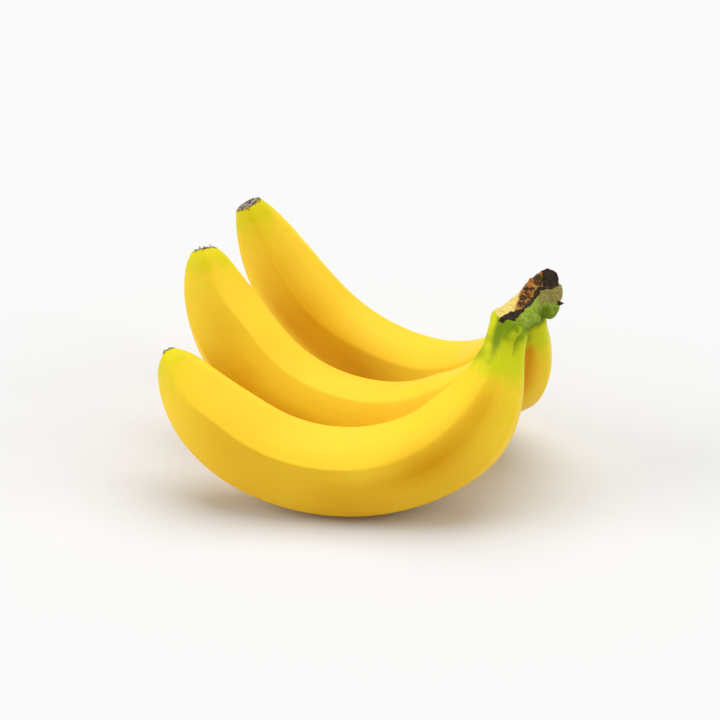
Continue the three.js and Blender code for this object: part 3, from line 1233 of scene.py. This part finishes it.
@dataclass
class Blossom:
    """The dried blossom end of one fruit: a ragged plate on its tip, with torn tufts."""

    bow: Bow
    finish: bpy.types.Material
    plate_insets: Numbers = (0.9, 0.75, 0.55, 0.3)
    plate_sides: int = 60
    plate_rings: int = 4
    plate_height: float = 0.62
    plate_foot: float = -0.2
    plate_round: float = 0.25  # how far its top falls off to the rim
    plate_grains: tuple[Numbers, ...] = ((0.28, 0.9, 0), (0.18, 0.45, 5))  # height, size, seed
    plate_taper: float = 0.07  # how much narrower it is at the top
    rim_ragged: float = 0.05  # how far the rim runs in and out, as a share of its radius
    rim_detail: float = 3
    rim_droop: float = 0.07  # how far the rim hangs down, as a share of the tip's radius
    notch_droop: float = 1.8  # and how much more where it meets a ridge
    notch_width: float = 0.25
    worn: Numbers = (0.9, 1.6, 3)  # strength, size and seed of the grey patches
    tufts: int = 9
    tuft_sides: int = 6
    tuft_rings: int = 4
    tuft_turn: float = 0.3  # how unevenly they stand round the plate
    tuft_out: Span = (0.35, 0.92)  # how far out, as shares of the radius
    tuft_foot: float = 0.3
    tuft_height: Span = (0.6, 1.5)  # shares of the size that the next two give
    tuft_per_radius: float = 0.27
    tuft_less: float = 0.2
    tuft_thick: Span = (0.3, 0.55)
    tuft_point: float = 0.07
    tuft_lean: float = 0.6
    tuft_kink: Span = (0.1, 0.5)  # how far it bends to and fro, and over what length

    def build(self) -> Piece:
        """Models the ragged dried plate on the tip, with its torn tufts.

        Returns:
            The blossom end.
        """
        bow, fruit = self.bow, self.bow.fruit
        draw = random.Random(fruit.seed)
        radius = bow.facet_radius(bow.end)
        centre, inward, along = bow.frame_at(bow.end)
        axes = Matrix((bow.side, inward, along)).transposed()
        bm = unit_tube(self.plate_sides, self.plate_rings, self.plate_insets)

        def plate(point: Vector) -> Vector:
            """Shapes the plate, with a ragged rim that hangs over the ridges.

            Args:
                point: Place on the unit tube.

            Returns:
                Place in the tip's own axes.
            """
            out = math.hypot(point.x, point.y)
            around = math.atan2(point.y, point.x)
            rim = Vector((math.cos(around), math.sin(around), fruit.seed)) * self.rim_detail
            ragged = grain(rim, 1)
            from_ridge = FACETS * (around - bow.ridge(bow.end)) / 2
            notch = self.notch_droop * bell(math.sin(from_ridge), self.notch_width)
            droop = self.rim_droop * fruit.tip_radius * (1 + notch * (1 + ragged))
            reach = radius * out * (1.0 + self.rim_ragged * ragged)
            reach *= 1 - self.plate_taper * point.z
            local = Vector((reach * math.cos(around), reach * math.sin(around), 0))
            top = self.plate_height - self.plate_round * out**5
            for height, size, seed in self.plate_grains:
                top += height * grain(local, size, fruit.seed + seed)
            local.z = lerp(self.plate_foot - droop * out**6, top, point.z)
            return local

        reshape(bm, plate)
        for i in range(self.tufts):
            turn = i + draw.uniform(-self.tuft_turn, self.tuft_turn)
            around = math.tau * turn / self.tufts
            out = draw.uniform(*self.tuft_out) * radius
            foot = Vector((out * math.cos(around), out * math.sin(around), self.tuft_foot))
            self.add_tuft(bm, draw, foot)
        for vert in bm.verts:
            vert.co = bow.tilted(fruit.length, centre + axes @ vert.co)
        strength, size, seed = self.worn

        def greyed(vert: Vert) -> Sequence[float]:
            """Share of grey worn fibre at a vertex."""
            return zone(strength * grain(vert.co, size, fruit.seed + seed)), 0, 0, 0

        paint(bm, DRIED_PAINT, greyed)
        piece = to_object(f"dried_blossom_{fruit.name}", bm)
        return dress(piece, self.finish, f"blossom_end_{fruit.name}")

    def add_tuft(self, bm: Mesh, draw: random.Random, foot: Vector) -> None:
        """Adds one bent torn fibre to the blossom end.

        Args:
            bm: The blossom end's mesh, in the tip's own axes.
            draw: Seeded source of its size and lean.
            foot: Where it stands.
        """
        size = self.tuft_per_radius * self.bow.fruit.tip_radius - self.tuft_less
        height = draw.uniform(*self.tuft_height) * size
        thick = draw.uniform(*self.tuft_thick)
        lean = Vector([draw.uniform(-self.tuft_lean, self.tuft_lean) for _ in range(2)] + [0])
        kink, kink_size = self.tuft_kink
        tuft = unit_tube(self.tuft_sides, self.tuft_rings, ())

        def bent(point: Vector) -> Vector:
            """Bends and thins the tuft.

            Args:
                point: Place on the unit tube.

            Returns:
                Place in the tip's own axes.
            """
            reach = lerp(thick, self.tuft_point, point.z)
            place = Vector((point.x * reach, point.y * reach, point.z * height))
            place += lean * point.z**2 + foot
            return place + Vector((kink, kink, 0)) * grain(place, kink_size)

        reshape(tuft, bent)
        take_in(bm, tuft)


# ---------------------------------------------------------------- crown


@dataclass(frozen=True)
class Cut:
    """Torn face of the crown, which rises and tilts along it, in the crown's axes."""

    height: float = 77.8  # at the crown's middle
    rise: float = 0.13  # per mm along the crown
    sweep: float = 0.004  # and how much more per mm
    tilt: float = 0.28  # per mm across the crown
    twist: float = 0.02  # and how much more per mm along it
    lip_places: Numbers = (-21, -19, -17, -13, -8, -3, 2, 8, 12, 18)
    lip_y: Numbers = (-1.5, -3.0, -4.9, -4.4, -3.6, -2.8, -2.1, -1.3, -3.6, -4.0)
    roll_off: float = 0.32  # how fast the top drops outside the lip
    near_drop: float = 4.0  # and how far it drops at most
    far_places: Numbers = (-21, -16, -10.5, -3, 1, 21)
    far_y: Numbers = (4.2, 3.5, 3.0, 5.0, 9.0, 9.0)
    far_slope: float = 1.7  # how steep the crown falls off behind the face
    far_round: float = 0.4  # how softly that fall begins
    horn: Numbers = (14.4, 4.2, 2.2, 0.8)  # x, y, reach and height

    def height_at(self, x: float, y: float) -> float:
        """Works out the height of the torn face, and of what falls off round it.

        Args:
            x: Place along the crown.
            y: Place across it.

        Returns:
            The height there.
        """
        tilt = self.tilt + self.twist * max(x, 0)
        outside = max(self.lip(x) - y, 0)
        behind = math.hypot(max(y - self.far_edge(x), 0), self.far_round) - self.far_round
        face = self.height + self.rise * x + self.sweep * x * x + tilt * y
        face += self.horn[3] * bell(math.hypot(x - self.horn[0], y - self.horn[1]), self.horn[2])
        return face - min(self.roll_off * outside**2, self.near_drop) - self.far_slope * behind

    def lip(self, x: float) -> float:
        """Where the torn face's near edge, its lip, runs across the crown."""
        return eased(self.lip_places, self.lip_y, x)

    def far_edge(self, x: float) -> float:
        """Where the torn face's far edge runs across the crown."""
        return eased(self.far_places, self.far_y, x)


@dataclass(frozen=True)
class Zones:
    """Where the torn face, its brown, the black crust and the olive skin run on the crown.

    Of each edge it says where it runs, how it slants, and how far it laps over and blurs.
    """

    cut: Cut
    face_lap: float = 0.4
    brown_start: float = -8.2  # the browned half starts here along the crown
    brown_slant: float = 2.4
    brown_blur: float = 4
    band_places: Numbers = (-21, -19, -17, -13, -11, -8, -3, 2, 4, 6, 8.5)
    band_width: Numbers = (1.2, 2.2, 4.0, 3.6, 2.2, 0.9, 0.5, 0.7, 1.7, 1.5, 1.2)
    band_lap: float = 0.1
    band_depth: float = 1.6  # how far the black band along the lip hangs down
    band_blur: float = 1.2
    patch_start: float = 10.7  # the black patch at the crown's far end
    patch_slant: float = 1.35
    skin_patch_start: float = 9.0  # and where it starts on the skin
    skin_patch_slant: float = 0.9
    skin_patch_y: float = 1
    patch_foot: float = 78.7
    patch_steep: float = 1.3
    patch_blur: float = 1.6
    pits: tuple[Numbers, ...] = (  # place on the face and size
        (7.4, -0.4, 1.0),
        (4.2, -1.5, 1.1),
        (1.2, 0.6, 0.5),
        (-3.4, -0.4, 0.5),
    )
    pit_squash: float = 1.4
    olive_start: Numbers = (3.0, 73.0, 1.5)  # x, height and y
    olive_far: float = 5
    olive_far_span: Span = (11, 17)
    olive_blur: float = 3.0
    stripe: Numbers = (2.2, 7.4, 0.55, 76, 1.1)  # depth, x, slant, height and width

    def shares(self, point: Vector, on_face: float) -> tuple[float, float, float, float]:
        """Painted shares at a place.

        Args:
            point: Place in the crown's axes.
            on_face: 1 on the torn face, 0 on the skin.

        Returns:
            Shares of torn face, browned face, black crust and olive skin, each 0.5 on its edge.
        """
        x, y, z = point
        lip = self.cut.lip(x)
        drop = self.cut.height_at(x, y) - z
        face = min(on_face, zone(y - lip), zone(self.cut.far_edge(x) + self.face_lap - y))
        brown = zone(x - self.brown_start - self.brown_slant * y, self.brown_blur)
        half = eased(self.band_places, self.band_width, x) / 2
        in_band = min(half + self.band_lap - abs(y - lip - half), self.band_depth - drop)
        band = zone(in_band, self.band_blur)
        in_patch = x - self.patch_start - self.patch_slant * y
        if on_face <= 0.5:
            slant = self.skin_patch_slant * max(y - self.skin_patch_y, 0)
            in_patch = x - self.skin_patch_start - slant
        in_patch = min(in_patch, (z - self.patch_foot) * self.patch_steep)
        patch = zone(in_patch, self.patch_blur)
        pit = max(
            zone(size - math.hypot(x - pit_x, (y - pit_y) * self.pit_squash, drop))
            for pit_x, pit_y, size in self.pits
        )
        depth, stripe_x, slant, height, width = self.stripe
        stripe = depth * bell(x - stripe_x - slant * (z - height), width)
        start_x, foot, near = self.olive_start
        far = self.olive_far * smoothstep(x, *self.olive_far_span)
        olive = zone(min(x - start_x, z - foot, near - y + far) - stripe, self.olive_blur)
        return face, brown, max(band, patch, pit), olive


@dataclass
class Crown:
    """Cut and torn crown over the three necks, in its own axes.

    x runs along it, y to its far side and z up; sizes are in millimetres.
    """

    bows: Sequence[Bow]
    finish: bpy.types.Material
    cut: Cut = Cut()
    centre: Span = (62.7, -35.3)
    turn: float = 54
    half_length: float = 21.5
    end_fullness: float = 3  # 2 rounds the ends off, more makes them blunter
    places: Numbers = (-21, -12, 0, 11, 21)  # where the next four are given, along the crown
    middle_y: Numbers = (0.3, 0.5, 1.4, 1.5, 1.4)
    middle_z: Numbers = (71.5, 72.3, 73.4, 75.6, 77.8)
    half_width: Numbers = (5.6, 6.2, 5.2, 5.4, 5.2)
    half_height: Numbers = (4.5, 5.5, 6, 7.8, 7.6)
    pad_segments: tuple[int, int] = (48, 40)
    lean_back: float = 0.22  # how far the near wall leans to the far side, per mm of height
    lean_span: Span = (-0.2, 0.7)
    collar_sides: int = 60
    collar_rings: int = 30
    collar_insets: Numbers = (0.6, 0.2)
    collar_top: float = -4.5
    collar_end: float = 12.5
    collar_wall: float = 0.12  # how far it stands off the neck
    collar_full: float = 2.0  # where the taper ends
    collar_dive: float = 0.6  # how far it dives at its lower end
    collar_dive_start: float = 5.5
    collar_taper: Numbers = (0.4, 3.0, 3.0)  # how much thinner each neck's root is
    knuckles: tuple[Numbers, ...] = (  # place and radius
        (-4.6, -2.8, 71.6, 3.6),
        (-8.6, -4.5, 72.4, 2.9),
        (-1.0, -4.7, 70.6, 1.9),
        (10.8, -3.2, 71.3, 4.0),
        (9.2, -4.2, 69.9, 3.0),
        (-9.5, 3.4, 71.6, 3.4),
        (-3.0, 5.0, 68.6, 5.4),
        (-14.0, 1.9, 73.3, 4.8),
        (13.6, -1.5, 75.3, 5.0),
    )
    knuckle_detail: int = 4
    lit_knuckles: int = 5  # how many of them, from the first, get painted light
    coarse: float = 0.5  # face size while the lumps are blended
    fine: float = 0.3  # and in the end
    blend: float = 0.5
    blend_rounds: int = 7
    ease: float = 0.4

    # painted light on the skin's knuckles and top, and where the neck's colour runs up onto it
    lit_bulge_fade: float = 0.55
    lit_from_height: Numbers = (0.45, 73.0, 6)  # least share of painted light, from which height, and blur
    neck_along: Span = (1.0, 7.0)
    neck_over: Span = (0.6, 1.6)
    root_x: float = -11.5  # where the front neck runs up into the near end
    root_slant: float = 0.4
    root_y: float = -2
    root_blur: float = 4

    # small relief: strength, feature size and seed of each noise
    torn_facing: Span = (0.3, 0.6)
    torn_depth: Span = (0.6, 1.5)
    lumps: tuple[Numbers, ...] = ((0.6, 1.7, 2), (0.4, 0.8, 5))
    torn_rough: float = 0.75
    torn_least: float = 0.35  # share of it that the cream part has
    crust_rough: Numbers = (0.25, 0.9, 9)
    crust_span: Span = (0.45, 0.7)
    skin_rough: Numbers = (0.10, 1.3, 4)
    skin_least: float = 0.4  # share of it that the green skin has
    spike_foot: Numbers = (11.6, -5.6, 72.9)
    spike_tip: Numbers = (15.0, -6.9, 72.1)
    spike_sides: int = 8
    spike_radii: Span = (1.5, 0.12)
    spike_rough: Span = (0.25, 0.7)  # height and feature size

    def __post_init__(self) -> None:
        """Works out the way from the crown's axes into the bunch's."""
        self.to_bunch = Matrix.Translation((*self.centre, 0)) @ Matrix.Rotation(
            math.radians(self.turn), 4, "Z"
        )
        self.to_own = self.to_bunch.inverted()
        self.zones = Zones(self.cut)

    def add_pad(self, bm: Mesh) -> None:
        """Adds the lofted pad that joins the necks.

        Args:
            bm: The crown's mesh.
        """
        around, along = self.pad_segments
        ball = bmesh.ops.create_uvsphere(bm, u_segments=around, v_segments=along, radius=1)
        for vert in ball["verts"]:
            x, y, z = -vert.co.z, vert.co.y, vert.co.x
            place = x * self.half_length
            fullness = self.end_fullness
            closing = (1 - min(abs(x), 1) ** fullness) ** (1 / fullness)
            reach = closing / max(math.hypot(y, z), NEAR_NIL)
            up = z * reach * eased(self.places, self.half_height, place)
            out = y * reach * eased(self.places, self.half_width, place)
            lean = self.lean_back * smoothstep(-y * reach, *self.lean_span)
            vert.co = Vector((
                place,
                eased(self.places, self.middle_y, place) + out + lean * max(up, 0),
                eased(self.places, self.middle_z, place) + up,
            ))

    def add_collar(self, bm: Mesh, bow: Bow, taper: float) -> None:
        """Adds the rooted end of a neck, which dives under the peel at its lower end.

        Args:
            bm: The crown's mesh.
            bow: The fruit whose neck it is.
            taper: How much thinner its root is.
        """
        tube = unit_tube(self.collar_sides, self.collar_rings, self.collar_insets)

        def root(point: Vector) -> Vector:
            """Lays the tube just over the neck, and dives under the peel at its lower end.

            Args:
                point: Place on the unit tube.

            Returns:
                Place in the crown's axes.
            """
            distance = lerp(self.collar_top, self.collar_end, point.z)
            around = math.atan2(point.y, point.x)
            thinner = 1 - smoothstep(distance, self.collar_top, self.collar_full)
            dive = smoothstep(distance, self.collar_dive_start, self.collar_end)
            grown = self.collar_wall - taper * thinner - self.collar_dive * dive
            reach = (bow.radius(distance, around) + grown) * math.hypot(point.x, point.y)
            return self.to_own @ bow.point(distance, around, reach)

        reshape(tube, root)
        take_in(bm, tube)

    def add_knuckles(self, bm: Mesh) -> None:
        """Adds the bulges of old bract scars.

        Args:
            bm: The crown's mesh.
        """
        for x, y, z, radius in self.knuckles:
            bmesh.ops.create_icosphere(
                bm, subdivisions=self.knuckle_detail, radius=radius,
                matrix=Matrix.Translation((x, y, z)),
            )

    def trim(self, bm: Mesh) -> None:
        """Presses what is above the torn face down onto it."""
        for vert in bm.verts:
            vert.co.z = min(vert.co.z, self.cut.height_at(vert.co.x, vert.co.y))

    def build(self) -> Piece:
        """Models the crown and paints its zones.

        Returns:
            The crown.
        """
        bm = bmesh.new()
        self.add_pad(bm)
        self.add_knuckles(bm)
        for bow, taper in zip(self.bows, self.collar_taper, strict=True):
            self.add_collar(bm, bow, taper)
        bm = remeshed(bm, self.coarse)
        soften(bm, self.blend, self.blend_rounds)
        self.trim(bm)
        bm = remeshed(bm, self.fine)
        soften(bm, self.ease)
        bm.normal_update()
        bm.verts.index_update()
        marks = [self.mark(vert) for vert in bm.verts]
        for vert in bm.verts:
            torn, lump, _, *browns = marks[vert.index]
            vert.co += vert.normal * self.rough(vert.co, torn, lump, *browns)
        paint(bm, CROWN_PAINT, lambda vert: marks[vert.index][2:])
        paint(bm, CROWN_TINT, lambda vert: self.tint(vert.co, marks[vert.index][1]))
        bmesh.ops.transform(bm, matrix=self.to_bunch, verts=bm.verts)
        self.add_spike(bm)
        return dress(to_object("crown_torn", bm), self.finish, "crown")

    def mark(self, vert: Vert) -> Numbers:
        """Notes what the crown is like at a vertex.

        Args:
            vert: The vertex.

        Returns:
            Shares of torn face and lump, then the four painted zones.
        """
        depth = self.cut.height_at(vert.co.x, vert.co.y) - vert.co.z
        torn = smoothstep(vert.normal.z, *self.torn_facing)
        torn *= 1 - smoothstep(depth, *self.torn_depth)
        lump = sum(high * grain(vert.co, size, seed) for high, size, seed in self.lumps)
        return torn, lump, *self.zones.shares(vert.co, torn)

    def rough(
        self, point: Vector, torn: float, lump: float, brown: float, crust: float, olive: float
    ) -> float:
        """Works out the small relief of the crown at a place.

        Args:
            point: The place.
            torn: Share of torn face.
            lump: How far it stands out of that face.
            brown: Share of browned face.
            crust: Share of black crust.
            olive: Share of olive skin.

        Returns:
            How far the skin moves out, in millimetres.
        """
        crust_high, crust_size, crust_seed = self.crust_rough
        skin_high, skin_size, skin_seed = self.skin_rough
        rough = self.torn_rough * torn * lump * (self.torn_least + clamp(brown))
        crusted = crust_high * smoothstep(crust, *self.crust_span)
        rough += crusted * (1 + grain(point, crust_size, crust_seed))
        skin = skin_high * (1 - torn) * grain(point, skin_size, skin_seed)
        return rough + skin * (self.skin_least + clamp(olive))

    def tint(self, point: Vector, lump: float) -> tuple[float, float, float, float]:
        """Painted light and tones of the skin at a place.

        Args:
            point: Place in the crown's axes.
            lump: How far the place stands out of the torn face, from -1 to 1.

        Returns:
            Shares of painted light on the bulges and higher up, lump, the neck's own colour, and
            the neck's dark green with its painted furrow shade.
        """
        x, y, z = point
        least, height, blur = self.lit_from_height
        lit_bulge = max(
            1 - self.lit_bulge_fade * (point - Vector(knuckle[:3])).length / knuckle[3]
            for knuckle in self.knuckles[: self.lit_knuckles]
        )
        lit_bulge = max(lit_bulge, least + (z - height) / blur)
        on_neck, groove = 0.0, 0.0
        for bow in self.bows:
            distance, angle, reach, _ = bow.locate(self.to_bunch @ point)
            over = reach - bow.radius(distance, angle)
            share = smoothstep(distance, *self.neck_along)
            share *= 1 - smoothstep(over, *self.neck_over)
            if share > on_neck:
                on_neck, groove = share, bow.green_and_furrow_shade(distance, angle)
        near_end = zone(self.root_x - x + self.root_slant * (y - self.root_y), self.root_blur)
        if near_end > on_neck:
            distance, angle, _, _ = self.bows[0].locate(self.to_bunch @ point)
            on_neck, groove = near_end, self.bows[0].green_and_furrow_shade(distance, angle)
        return lit_bulge, zone(lump), on_neck, groove

    def add_spike(self, bm: Mesh) -> None:
        """Adds the dry dark thorn of a bract at the far end of the crown.

        Args:
            bm: The crown's mesh, in the bunch's axes.
        """
        foot, tip = (self.to_bunch @ Vector(end) for end in (self.spike_foot, self.spike_tip))
        heading = (tip - foot).to_track_quat("Z", "Y").to_matrix().to_4x4()
        wide, narrow = self.spike_radii
        cone = bmesh.ops.create_cone(
            bm, cap_ends=True, segments=self.spike_sides, radius1=wide, radius2=narrow,
            depth=(tip - foot).length, matrix=Matrix.Translation((foot + tip) / 2) @ heading,
        )
        layer = bm.verts.layers.float_color[CROWN_PAINT]
        height, size = self.spike_rough
        for vert in cone["verts"]:
            vert.co += Vector((1, 1, 1)) * height * grain(vert.co, size)
            vert[layer] = (0, 0, 1, 0)


# ---------------------------------------------------------------- studio


@dataclass(frozen=True)
class Lamp:
    """A wide soft lamp far away; azimuth 0 is the camera's side, 90 the right; degrees."""

    name: str
    azimuth: float
    elevation: float
    spread: float
    strength: float


@dataclass(frozen=True)
class Studio:
    """Pale floor, soft light and the camera; sizes in metres unless they say millimetres."""

    aim_mm: tuple[float, float, float] = (-0.3, -1.8, 37.4)
    elevation: float = 23.7
    camera_distance_mm: float = 950
    lens: float = 120.1
    sensor: float = 36
    clip: Span = (0.05, 50)
    floor_size: float = 8.0
    world_strength: float = 0.37
    lamps: tuple[Lamp, ...] = (
        Lamp("top", 160, 74, 60, 2.05),
        Lamp("left", -80, 24, 45, 1.35),
        Lamp("right", 75, 28, 45, 1.0),
    )

    def build_camera(self) -> None:
        """Sets up the camera."""
        data = bpy.data.cameras.new("camera")
        data.lens = self.lens
        data.sensor_width = self.sensor
        data.clip_start, data.clip_end = self.clip
        camera = bpy.data.objects.new("camera", data)
        aim = Vector(self.aim_mm) * MM
        tilt = math.radians(self.elevation)
        back = Vector((0, -math.cos(tilt), math.sin(tilt)))
        camera.location = aim + back * self.camera_distance_mm * MM
        camera.rotation_euler = (math.pi / 2 - tilt, 0, 0)
        bpy.context.scene.collection.objects.link(camera)
        bpy.context.scene.camera = camera

    def build_floor(self) -> None:
        """Lays the floor."""
        bm = bmesh.new()
        bmesh.ops.create_grid(bm, x_segments=4, y_segments=4, size=self.floor_size / 2 / MM)
        floor = to_object("floor", bm)
        floor.data.materials.append(FloorFinish().build())

    def add_lamp(self, lamp: Lamp) -> None:
        """Adds one soft distant lamp, aimed at the bunch.

        Args:
            lamp: Where it hangs and how bright it is.
        """
        data = bpy.data.lights.new(lamp.name, "SUN")
        data.energy = lamp.strength
        data.angle = math.radians(lamp.spread)
        light = bpy.data.objects.new(lamp.name, data)
        turn, tilt = math.radians(lamp.azimuth), math.radians(lamp.elevation)
        source = Vector((
            math.sin(turn) * math.cos(tilt), -math.cos(turn) * math.cos(tilt), math.sin(tilt)
        ))
        light.rotation_euler = source.to_track_quat("Z", "Y").to_euler()
        bpy.context.scene.collection.objects.link(light)

    def build_lights(self) -> None:
        """Hangs the lamps and sets the surrounding light."""
        for lamp in self.lamps:
            self.add_lamp(lamp)
        world = bpy.data.worlds.new("studio")
        world.use_nodes = True
        background = world.node_tree.nodes["Background"]
        background.inputs["Color"].default_value = (1, 1, 1, 1)
        background.inputs["Strength"].default_value = self.world_strength
        bpy.context.scene.world = world
        bpy.context.scene.view_settings.view_transform = "Standard"

    def build(self) -> None:
        """Builds everything round the bunch."""
        self.build_camera()
        self.build_floor()
        self.build_lights()


def main() -> None:
    """Builds the bunch piece by piece, then the studio."""
    logging.basicConfig(level=logging.INFO, format="%(name)s: %(message)s")
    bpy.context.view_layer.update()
    peel, dried, skin = PeelFinish().build(), DriedFinish().build(), CrownFinish().build()
    bows = [Bow(fruit) for fruit in FRUIT]
    for i, bow in enumerate(bows):
        Peel(bow, bows[:i], peel).build()
        Blossom(bow, dried).build()
    Crown(bows, skin).build()
    Studio().build()


if __name__ == "__main__":
    main()
